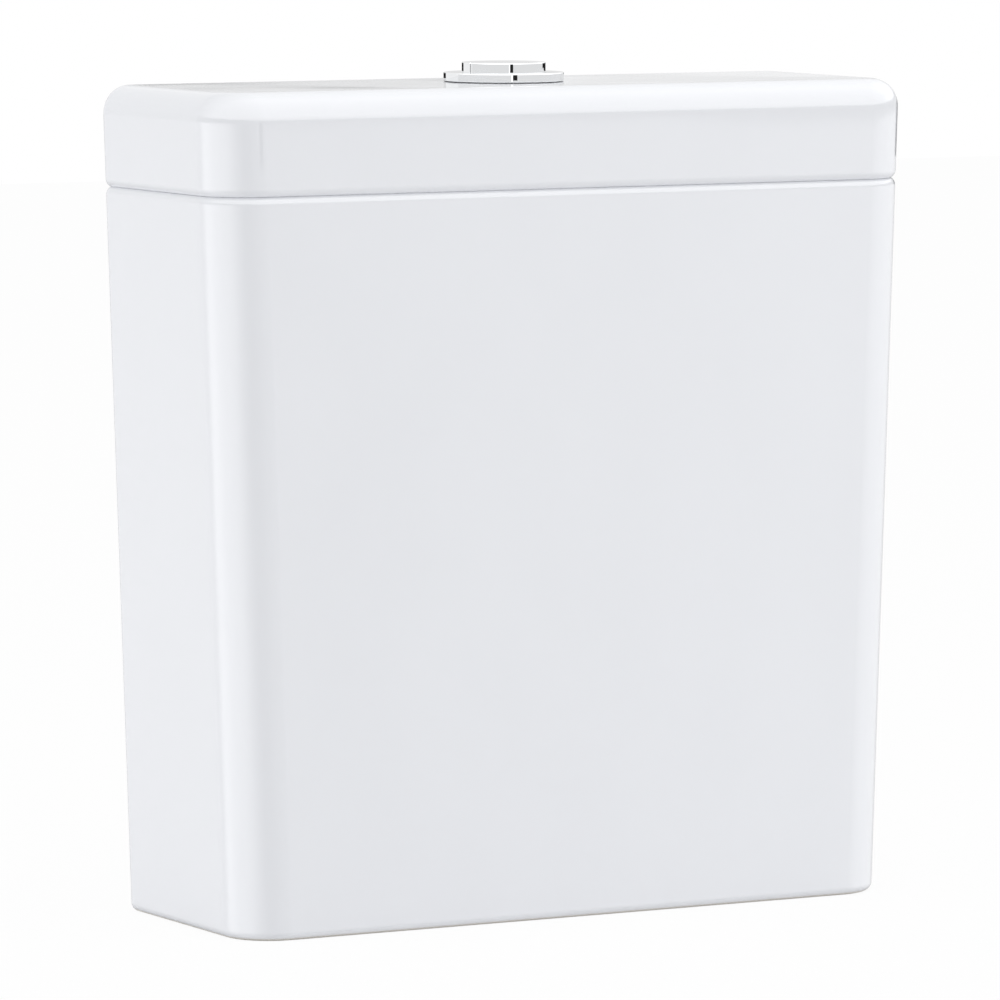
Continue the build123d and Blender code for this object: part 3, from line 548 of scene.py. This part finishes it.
def tank_loops(s):
    """Loops from under the floor, round the foot, up the outside, over the rim and down to the floor."""
    def inner(z, inset, grow):
        return shell_loop(s, z, inset - grow, s.front_corner - inset + grow, s.inner_back_corner + grow)
    loops = []
    for turn in arc(pi / 2, 0.0, FILLET_STEPS):
        loops.append(inner(s.floor_low - s.floor_fillet + s.floor_fillet * sin(turn), s.wall,
                           -s.floor_fillet * (1 - cos(turn))))
    for turn in arc(0.0, pi / 2, RIM_STEPS):
        loops.append(inner(s.rim - s.rim * sin(turn), s.wall, s.rim * (1 - cos(turn))))
    for turn in arc(pi / 2, 0.0, EDGE_STEPS):
        inset = s.edge * (1 - cos(turn))
        loops.append(shell_loop(s, s.edge - s.edge * sin(turn), inset, s.front_corner - inset,
                                s.edge - inset))
    for turn in arc(0.0, s.seam_turn, EDGE_STEPS):
        inset = s.edge * (1 - cos(turn))
        loops.append(shell_loop(s, s.tank_top - s.edge * (sin(s.seam_turn) - sin(turn)), inset,
                                s.front_corner - inset, s.edge - inset))
    for turn in arc(pi / 2, 0.0, RIM_STEPS):
        loops.append(inner(s.tank_top - s.rim + s.rim * sin(turn), s.wall, s.rim * (1 - cos(turn))))
    for turn in arc(0.0, pi / 2, FILLET_STEPS):
        loops.append(inner(s.floor_high + s.floor_fillet - s.floor_fillet * sin(turn), s.wall,
                           -s.floor_fillet * (1 - cos(turn))))
    return loops


def lid_loops(s):
    """Loops from the inner roof down the wall, round the lip, up the outside and over the crown."""
    def inner(z, inset, grow):
        return shell_loop(s, z, inset - grow, s.front_corner - inset + grow, s.inner_back_corner + grow)
    loops = []
    for turn in arc(pi / 2, 0.0, FILLET_STEPS):
        loops.append(inner(s.roof_low - s.floor_fillet + s.floor_fillet * sin(turn), s.lid_wall,
                           -s.floor_fillet * (1 - cos(turn))))
    for turn in arc(0.0, pi / 2, RIM_STEPS):
        loops.append(inner(s.lip_low + s.rim - s.rim * sin(turn), s.lid_wall, s.rim * (1 - cos(turn))))
    for turn in arc(pi / 2, 0.0, RIM_STEPS):
        loops.append(inner(s.lip_low + s.rim - s.rim * sin(turn), s.lip_inset, -s.rim * (1 - cos(turn))))
    loops.append(inner(s.lid_low, s.lip_inset, 0.0))
    for turn in arc(s.seam_turn, 0.0, EDGE_STEPS):
        inset = s.edge * (1 - cos(turn))
        loops.append(shell_loop(s, s.lid_low + s.edge * (sin(s.seam_turn) - sin(turn)), inset,
                                s.front_corner - inset, s.edge - inset))
    for turn in arc(0.0, pi / 2, CROWN_STEPS):
        inset = s.crown * (1 - cos(turn))
        z = s.height - s.crown + s.crown * sin(turn)
        over = max(z - (s.height - s.edge), 0.0)
        back_inset = s.edge - sqrt(max(s.edge ** 2 - over ** 2, 0.0))
        loops.append(shell_loop(s, z, inset, s.front_corner - inset, s.edge - back_inset, back_inset))
    return loops


def tube(radius_out, radius_in, low, high, edge, soft=3):
    """Closed profile of a tube whose four edges are rounded."""
    corners = ((radius_out, low, -pi / 2, 0.0), (radius_out, high, 0.0, pi / 2),
               (radius_in, high, pi / 2, pi), (radius_in, low, pi, 3 * pi / 2))
    profile = []
    for radius, height, start, end in corners:
        mid_r = radius - edge if radius == radius_out else radius + edge
        mid_z = height + edge if height == low else height - edge
        profile += [(mid_r + edge * cos(turn), mid_z + edge * sin(turn))
                    for turn in arc(start, end, soft)]
    return profile


def button_loop(sizes, front, back, shrink, z):
    """Outline of one part of the round button: an arc closed by a chord."""
    radius = sizes.radius - shrink
    if back is None:
        start = asin(max(-1.0, min(1.0, (front + shrink) / radius)))
        turns = arc(start, pi - start, BUTTON_STEPS)
    else:
        start = asin(max(-1.0, min(1.0, (back - shrink) / radius)))
        turns = arc(pi - start, 2 * pi + start, BUTTON_STEPS)
    return [(radius * cos(turn), sizes.axis_y + radius * sin(turn), z) for turn in turns]


def button_mesh(name, sizes, front, back, stem_y):
    """Hollow button part with a rounded top edge, on its stem."""
    low = sizes.top - sizes.skirt
    ceiling = sizes.top - sizes.plate
    loops = [button_loop(sizes, front, back, sizes.shell, ceiling),
             button_loop(sizes, front, back, sizes.shell, low), button_loop(sizes, front, back, 0.0, low)]
    for turn in arc(0.0, pi / 2, BUTTON_EDGE_STEPS):
        loops.append(button_loop(sizes, front, back, sizes.edge * (1 - cos(turn)),
                                 sizes.top - sizes.edge + sizes.edge * sin(turn)))
    shell = finish_mesh(loft(name, loops), METAL_SHARP, bevel=sizes.soft)
    stem_profile = tube(sizes.stem, sizes.stem - sizes.stem_wall, sizes.stem_low,
                        ceiling + sizes.plate / 2, sizes.soft)
    stem_centre = (0.0, sizes.axis_y + stem_y)
    stem = smooth_mesh(lathe(name + "_stem", stem_profile, STEM_STEPS, stem_centre), METAL_SHARP)
    return join_meshes(name, [shell, stem])


def join_meshes(name, meshes):
    """Several closed meshes as one."""
    work = bmesh.new()
    for mesh in meshes:
        work.from_mesh(mesh)
    mesh = bpy.data.meshes.new(name)
    work.to_mesh(mesh)
    work.free()
    return mesh


# Geometry Nodes

def new_group(name, inputs):
    """Geometry tree with named inputs and one geometry output."""
    tree = bpy.data.node_groups.new(name, "GeometryNodeTree")
    for label, kind in inputs:
        tree.interface.new_socket(label, in_out="INPUT", socket_type=kind)
    tree.interface.new_socket("Geometry", in_out="OUTPUT", socket_type="NodeSocketGeometry")
    return tree


def add_node(tree, kind, inputs=None):
    made = tree.nodes.new(kind)
    for key, value in (inputs or {}).items():
        if isinstance(value, bpy.types.NodeSocket):
            tree.links.new(value, made.inputs[key])
        else:
            made.inputs[key].default_value = value
    return made


def coil_tree():
    """Round wire wound along an upright screw line."""
    tree = new_group("wound_wire", (
        ("Coil radius", "NodeSocketFloat"), ("Wire radius", "NodeSocketFloat"), ("Turns", "NodeSocketFloat"),
        ("Rise", "NodeSocketFloat"), ("Place", "NodeSocketVector"), ("Points", "NodeSocketInt"),
        ("Sides", "NodeSocketInt"), ("Finish", "NodeSocketMaterial")))
    given = add_node(tree, "NodeGroupInput").outputs
    line = add_node(tree, "GeometryNodeCurveSpiral", {
        "Resolution": given["Points"], "Rotations": given["Turns"], "Start Radius": given["Coil radius"],
        "End Radius": given["Coil radius"], "Height": given["Rise"]})
    moved = add_node(tree, "GeometryNodeTransform", {
        "Geometry": line.outputs["Curve"], "Translation": given["Place"]})
    section = add_node(tree, "GeometryNodeCurvePrimitiveCircle", {
        "Resolution": given["Sides"], "Radius": given["Wire radius"]})
    wire = add_node(tree, "GeometryNodeCurveToMesh", {
        "Curve": moved.outputs["Geometry"], "Profile Curve": section.outputs["Curve"], "Fill Caps": True})
    return end_tree(tree, wire.outputs["Mesh"], given["Finish"])


def end_tree(tree, geometry, finish):
    """End a geometry tree in plain smooth geometry with its finish."""
    real = add_node(tree, "GeometryNodeRealizeInstances", {"Geometry": geometry})
    smooth = add_node(tree, "GeometryNodeSetShadeSmooth", {"Geometry": real.outputs["Geometry"]})
    dressed = add_node(tree, "GeometryNodeSetMaterial", {
        "Geometry": smooth.outputs["Geometry"], "Material": finish})
    add_node(tree, "NodeGroupOutput", {"Geometry": dressed.outputs["Geometry"]})
    return tree


def run_tree(tree, values):
    """Evaluate a geometry tree with named inputs and give back a plain mesh."""
    holder = bpy.data.objects.new("holder", bpy.data.meshes.new("holder"))
    bpy.context.scene.collection.objects.link(holder)
    modifier = holder.modifiers.new("shape", "NODES")
    modifier.node_group = tree
    for item in tree.interface.items_tree:
        if item.item_type == "SOCKET" and item.in_out == "INPUT" and item.name in values:
            modifier[item.identifier] = values[item.name]
    result = read_result(holder)
    bpy.data.objects.remove(holder)
    tidy_mesh(result)
    return result


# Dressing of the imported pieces

def merged_copy(node):
    """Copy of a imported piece's triangles, merged into whole faces."""
    mesh = frame["nodes"][node].data.copy()
    mesh.name = node + "_mesh"
    work = bmesh.new()
    work.from_mesh(mesh)
    bmesh.ops.remove_doubles(work, verts=work.verts, dist=PACKED_MERGE)
    bmesh.ops.dissolve_limit(work, angle_limit=FLAT, verts=work.verts, edges=work.edges)
    work.to_mesh(mesh)
    work.free()
    return mesh


def dress(nodes):
    """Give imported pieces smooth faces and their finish."""
    for node in nodes:
        mesh = finish_mesh(merged_copy(node), MOULDED_SHARP)
        add_piece(node + "_moulding", mesh, NODE_BODY[node], SLOT_OF[node], (node,))


# Operators

class CISTERN_OT_finishes(bpy.types.Operator):
    """Make the finishes of all the pieces"""
    bl_idname = "cistern.finishes"
    bl_label = "Finishes"

    def execute(self, context):
        make_finishes(context.scene.cistern_colours)
        return {"FINISHED"}


class CISTERN_OT_tank(bpy.types.Operator):
    """Build the ceramic tank with its floor, foot and holes"""
    bl_idname = "cistern.tank"
    bl_label = "Tank"

    def execute(self, context):
        s = context.scene.cistern_ceramic
        low, high = s.floor_low - s.rim, s.floor_high + s.rim
        axis_y = context.scene.cistern_button.axis_y
        inlet_x = sum(corner.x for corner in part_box("inlet_back_nut")) / 2
        cutters = [bar_cutter(s.outlet_hole, low, high, 0.0, axis_y, OUTLET_STEPS),
                   bar_cutter(s.inlet_hole, low, high, inlet_x, axis_y, INLET_STEPS)]
        cutters += [bar_cutter(s.bolt_hole, low, high, bolt_x, axis_y, BOLT_STEPS)
                    for bolt_x in (-s.bolt_reach, s.bolt_reach)]
        mesh = finish_mesh(loft("tank", tank_loops(s)), CERAMIC_SHARP, bevel=s.tank_bevel, cutters=cutters)
        add_piece("tank_ceramic", mesh, "tank", "glazed_ceramic", ("cistern_tank",))
        return {"FINISHED"}


class CISTERN_OT_lid(bpy.types.Operator):
    """Build the ceramic lid with its crown, lip and button hole"""
    bl_idname = "cistern.lid"
    bl_label = "Lid"

    def execute(self, context):
        s = context.scene.cistern_ceramic
        axis_y = context.scene.cistern_button.axis_y
        cutter = bar_cutter(s.button_hole, s.roof_low - s.rim, s.height + s.rim, 0.0, axis_y, OUTLET_STEPS)
        mesh = finish_mesh(loft("lid", lid_loops(s)), CERAMIC_SHARP, bevel=s.lid_bevel, cutters=(cutter,))
        add_piece("lid_ceramic", mesh, "lid", "glazed_ceramic", ("cistern_lid",))
        return {"FINISHED"}


class CISTERN_OT_button(bpy.types.Operator):
    """Build the chrome ring and the two parts of the push button"""
    bl_idname = "cistern.button"
    bl_label = "Button set"

    def execute(self, context):
        s = context.scene.cistern_button
        springs = context.scene.cistern_spring
        centre = (0.0, s.axis_y)
        plate_profile = tube(s.ring_radius, s.ring_bore, s.ring_low, s.ring_top, s.ring_edge, soft=5)
        plate = lathe("ring", plate_profile, RING_STEPS, centre)
        sleeve_top = (s.ring_low + s.ring_top) / 2
        sleeve_profile = tube(s.sleeve, s.ring_bore, s.sleeve_low, sleeve_top, s.soft)
        sleeve = lathe("sleeve", sleeve_profile, SLEEVE_STEPS, centre)
        ring = join_meshes("ring", [smooth_mesh(plate, METAL_SHARP), smooth_mesh(sleeve, METAL_SHARP)])
        add_piece("ring_chrome", ring, "lid", "chrome", ("button_rosette",))
        chord = -s.split_offset
        full = button_mesh("full_button", s, chord + s.split / 2, None, springs.full_y)
        add_piece("full_button_chrome", full, "full_button", "chrome", ("full_flush_button",))
        half = button_mesh("half_button", s, None, chord - s.split / 2, springs.half_y)
        add_piece("half_button_chrome", half, "half_button", "chrome", ("half_flush_button",))
        return {"FINISHED"}


class CISTERN_OT_springs(bpy.types.Operator):
    """Wind the return springs of the two buttons"""
    bl_idname = "cistern.springs"
    bl_label = "Springs"

    def execute(self, context):
        s = context.scene.cistern_spring
        axis_y = context.scene.cistern_button.axis_y
        tree = coil_tree()
        for name, stem_y, joint in (("full_button_spring", s.full_y, "full_button_press"),
                                    ("half_button_spring", s.half_y, "half_button_press")):
            mesh = run_tree(tree, {
                "Coil radius": s.coil, "Wire radius": s.wire / 2, "Turns": s.turns,
                "Rise": s.high - s.low - 2 * s.wire * s.end_room, "Points": s.points, "Sides": WIRE_SIDES,
                "Place": (0.0, axis_y + stem_y, s.low + s.wire * s.end_room),
                "Finish": FINISHES["stainless_steel"]})
            wire = smooth_mesh(mesh, WIRE_SHARP)
            piece = add_piece(name + "_wire", wire, "lid", "stainless_steel", (name,))
            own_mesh(piece)
        return {"FINISHED"}


class CISTERN_OT_button_fittings(bpy.types.Operator):
    """Dress the seal, nut, guide, pads and push rods that belong to the lid and the buttons"""
    bl_idname = "cistern.button_fittings"
    bl_label = "Button fittings"

    def execute(self, context):
        dress(("rosette_seal", "lid_lock_nut", "button_guide", "lid_pads", "full_push_rod", "half_push_rod"))
        return {"FINISHED"}


class CISTERN_OT_flush_valve(bpy.types.Operator):
    """Dress the flush valve from its shank up to its levers"""
    bl_idname = "cistern.flush_valve"
    bl_label = "Flush valve"

    def execute(self, context):
        dress(("valve_seat_body", "shank_seal", "shank_back_nut", "pan_gasket", "valve_basket",
               "lever_bridge", "lever_pins", "full_flush_lever", "half_flush_lever", "overflow_tube",
               "valve_seal", "seal_plate", "full_flush_float", "lift_hook", "half_flush_rod",
               "half_flush_float", "half_float_clip"))
        return {"FINISHED"}


class CISTERN_OT_fill_valve(bpy.types.Operator):
    """Dress the fill valve with its float, arm and level screw"""
    bl_idname = "cistern.fill_valve"
    bl_label = "Fill valve"

    def execute(self, context):
        dress(("fill_valve_riser", "inlet_seal", "inlet_back_nut", "inlet_filter", "fill_valve_head",
               "discharge_tube", "fill_diaphragm", "fill_valve_cap", "float_arm_pin", "pilot_plunger",
               "float_arm", "float_cup", "level_screw"))
        return {"FINISHED"}


def card(name, corners, faces, level):
    """Studio card that shows only in reflections."""
    mesh = mesh_from(name, corners, faces)
    piece = bpy.data.objects.new(name, mesh)
    bpy.context.scene.collection.objects.link(piece)
    material, f = new_material(name)
    glow = f.node("ShaderNodeEmission", {}, {"Color": WHITE, "Strength": level})
    f.node("ShaderNodeOutputMaterial", {}, {"Surface": glow})
    mesh.materials.append(material)
    piece.visible_camera = piece.visible_diffuse = piece.visible_shadow = False


# Narrow bands round the button, seen only in reflections:
# name, first and last degree round the object, lower and upper height, and level
SURROUND = (
    ("band_far_left", -173.0, -125.0, 0.362, 0.450, 1.05),
    ("band_left", -125.0, -15.0, 0.362, 0.450, 0.90),
    ("band_bright", -15.0, -12.2, 0.350, 0.450, 1.6),
    ("band_dark_front", -12.2, -3.6, 0.338, 0.396, 0.02),
    ("band_over_front", -12.2, -3.6, 0.396, 0.450, 0.90),
    ("band_right", -3.6, 104.0, 0.362, 0.450, 0.90),
    ("band_dark_right", 104.0, 136.0, 0.338, 0.396, 0.02),
    ("band_over_right", 104.0, 136.0, 0.396, 0.412, 0.90),
    ("band_back_right", 136.0, 154.0, 0.350, 0.412, 0.90),
    ("band_dark_back", 154.0, 187.0, 0.338, 0.412, 0.02),
    ("band_grey_back", 104.0, 187.0, 0.412, 0.450, 0.79))
CARD_STEP = 8.0

# Soft lamps: name, place, the point aimed at, size, and the property that holds the power
LAMPS = (
    ("left_box", (-2.3, 0.7, 0.0), (-0.19, 0.0, 0.1), (1.6, 1.2), "left_power"),
    ("low_box", (-1.0, 0.35, 0.12), (-0.19, 0.0, 0.08), (0.5, 0.2), "low_power"),
    ("right_box", (1.7, -2.2, 1.5), (0.0, 0.0, 0.35), (1.4, 1.4), "right_power"),
    ("top_box", (0.0, -0.3, 2.2), (0.0, 0.0, 0.3), (1.6, 1.2), "top_power"))


def curved_card(name, start, end, distance, low, high, level):
    """Upright card bent round the object between two angles."""
    count = max(1, round((end - start) / CARD_STEP))
    corners = []
    for turn in arc(radians(start), radians(end), count):
        corners += [(distance * sin(turn), -distance * cos(turn), z) for z in (low, high)]
    faces = [(2 * i, 2 * i + 2, 2 * i + 3, 2 * i + 1) for i in range(count)]
    card(name, corners, faces, level)


def soft_lamp(name, place, aim, size, power):
    """Square lamp aimed at a point; the room's own light does the reflections."""
    lamp = bpy.data.lights.new(name, "AREA")
    lamp.shape = "RECTANGLE"
    lamp.size, lamp.size_y = size
    lamp.energy = power
    holder = bpy.data.objects.new(name, lamp)
    bpy.context.scene.collection.objects.link(holder)
    holder.location = place
    holder.rotation_euler = (Vector(aim) - Vector(place)).to_track_quat("-Z", "Y").to_euler()
    holder.visible_camera = holder.visible_glossy = False


# What glossy faces show round the object at eye level: degrees from the front, and level
ROUND_LEVELS = (
    (-180, 0.6), (-165, 0.9), (-151, 1.3), (-133, 1.35), (-119, 2.9), (-110, 3.1), (-95, 2.9), (-71, 2.7),
    (-59, 2.45), (-48, 1.8), (-37, 1.15), (-27, 0.75), (-12, 0.75), (-5, 0.9), (6, 1.05), (18, 1.15),
    (26, 1.2), (32, 1.9), (45, 2.3), (60, 2.4), (81, 2.1), (111, 1.4), (130, 0.8), (151, 0.40), (170, 0.40),
    (180, 0.6))
TOP_LEVEL = 5.0


def room_light(w, s):
    """White room: plain light for matt faces, soft boxes and darker gaps for glossy ones."""
    low_start, low_gain, low_share = 0.62, 2.2, 0.65
    high_gain, back_gain, back_share = 3.3, 1.3, 0.65
    x, y, z = w.split(w.node("ShaderNodeTexCoord", output="Generated"))
    turn = w.math("ARCTAN2", x, y * -1.0) * (0.5 / pi) + 0.5
    stops = [((degree + 180) / 360, level / TOP_LEVEL) for degree, level in ROUND_LEVELS]
    ring = w.ramp(turn, stops) * TOP_LEVEL
    under = ((z + low_start) * low_gain).clamped() * low_share + (1.0 - low_share)
    over = (z * high_gain).clamped()
    behind = (y * back_gain).clamped()
    shown = ring * under * (1.0 - over) + over * (1.0 - behind * back_share) * s.overhead
    camera, glossy, through = [w.node("ShaderNodeLightPath", output=ray)
                               for ray in ("Is Camera Ray", "Is Glossy Ray", "Is Transmission Ray")]
    matt = 1.0 - (camera + glossy + through).clamped()
    strength = camera + through + glossy * shown + matt * s.sky
    room = w.node("ShaderNodeBackground", {}, {"Color": WHITE, "Strength": strength})
    w.node("ShaderNodeOutputWorld", {}, {"Surface": room})


class CISTERN_OT_studio(bpy.types.Operator):
    """Set up the camera, the pale floor, the white surroundings and the soft light"""
    bl_idname = "cistern.studio"
    bl_label = "Studio"

    def execute(self, context):
        s = context.scene.cistern_studio
        level_part = cos(s.elevation)
        back = Vector((sin(s.azimuth) * level_part, -cos(s.azimuth) * level_part, sin(s.elevation)))
        right = Vector((cos(s.azimuth), sin(s.azimuth), 0.0))
        up = back.cross(right)
        camera = bpy.data.cameras.new("camera")
        camera.lens = s.lens
        camera.sensor_width = s.sensor
        camera.clip_end = s.far
        holder = bpy.data.objects.new("camera", camera)
        context.scene.collection.objects.link(holder)
        place = right * s.aim_right + up * s.aim_up + back * s.distance
        holder.matrix_world = Matrix.Translation(place) @ Matrix((right, up, back)).transposed().to_4x4()
        context.scene.camera = holder
        context.scene.view_settings.view_transform = "Standard"

        world = bpy.data.worlds.new("white_room")
        world.use_nodes = True
        context.scene.world = world
        room_light(Finish(world.node_tree), s)

        sides = ((-1, -1), (1, -1), (1, 1), (-1, 1))
        corners = [(x * s.floor_reach, y * s.floor_reach, 0.0) for x, y in sides]
        ground = bpy.data.objects.new("floor", mesh_from("floor", corners, [(0, 1, 2, 3)]))
        context.scene.collection.objects.link(ground)
        material, f = new_material("pale_floor")
        path = f.node("ShaderNodeLightPath", output="Is Camera Ray")
        shade = (s.floor_shade, s.floor_shade, s.floor_shade, 1.0)
        matt = f.node("ShaderNodeBsdfDiffuse", {}, {"Color": shade})
        white = f.node("ShaderNodeEmission", {}, {"Color": WHITE, "Strength": 1.0})
        both = f.node("ShaderNodeMixShader", {}, {0: path * s.floor_white, 1: matt, 2: white})
        f.node("ShaderNodeOutputMaterial", {}, {"Surface": both})
        ground.data.materials.append(material)
        ground.visible_glossy = False

        for name, spot, aim, size, power in LAMPS:
            soft_lamp(name, spot, aim, size, getattr(s, power))
        for name, start, end, low, high, level in SURROUND:
            curved_card(name, start, end, s.band_distance, low, high, level)
        return {"FINISHED"}


class CISTERN_PT_panel(bpy.types.Panel):
    """Buttons that build the cistern"""
    bl_idname = "CISTERN_PT_panel"
    bl_label = "Toilet cistern"
    bl_space_type = "VIEW_3D"
    bl_region_type = "UI"
    bl_category = "Cistern"

    def draw(self, context):
        for step in STEPS:
            self.layout.operator(step.bl_idname)


STEPS = (CISTERN_OT_finishes, CISTERN_OT_tank, CISTERN_OT_lid, CISTERN_OT_button, CISTERN_OT_springs,
         CISTERN_OT_button_fittings, CISTERN_OT_flush_valve, CISTERN_OT_fill_valve, CISTERN_OT_studio)
GROUPS = {"cistern_ceramic": CeramicSizes, "cistern_button": ButtonSizes, "cistern_spring": SpringSizes,
          "cistern_colours": FinishColours, "cistern_studio": StudioSizes}
CLASSES = (*GROUPS.values(), *STEPS, CISTERN_PT_panel)


def register():
    for item in CLASSES:
        bpy.utils.register_class(item)
    for name, group in GROUPS.items():
        setattr(bpy.types.Scene, name, PointerProperty(type=group))


def unregister():
    for name in GROUPS:
        delattr(bpy.types.Scene, name)
    for item in reversed(CLASSES):
        bpy.utils.unregister_class(item)


def main():
    register()
    for step in STEPS:
        family, name = step.bl_idname.split(".")
        getattr(getattr(bpy.ops, family), name)()


if __name__ == "__main__":
    main()
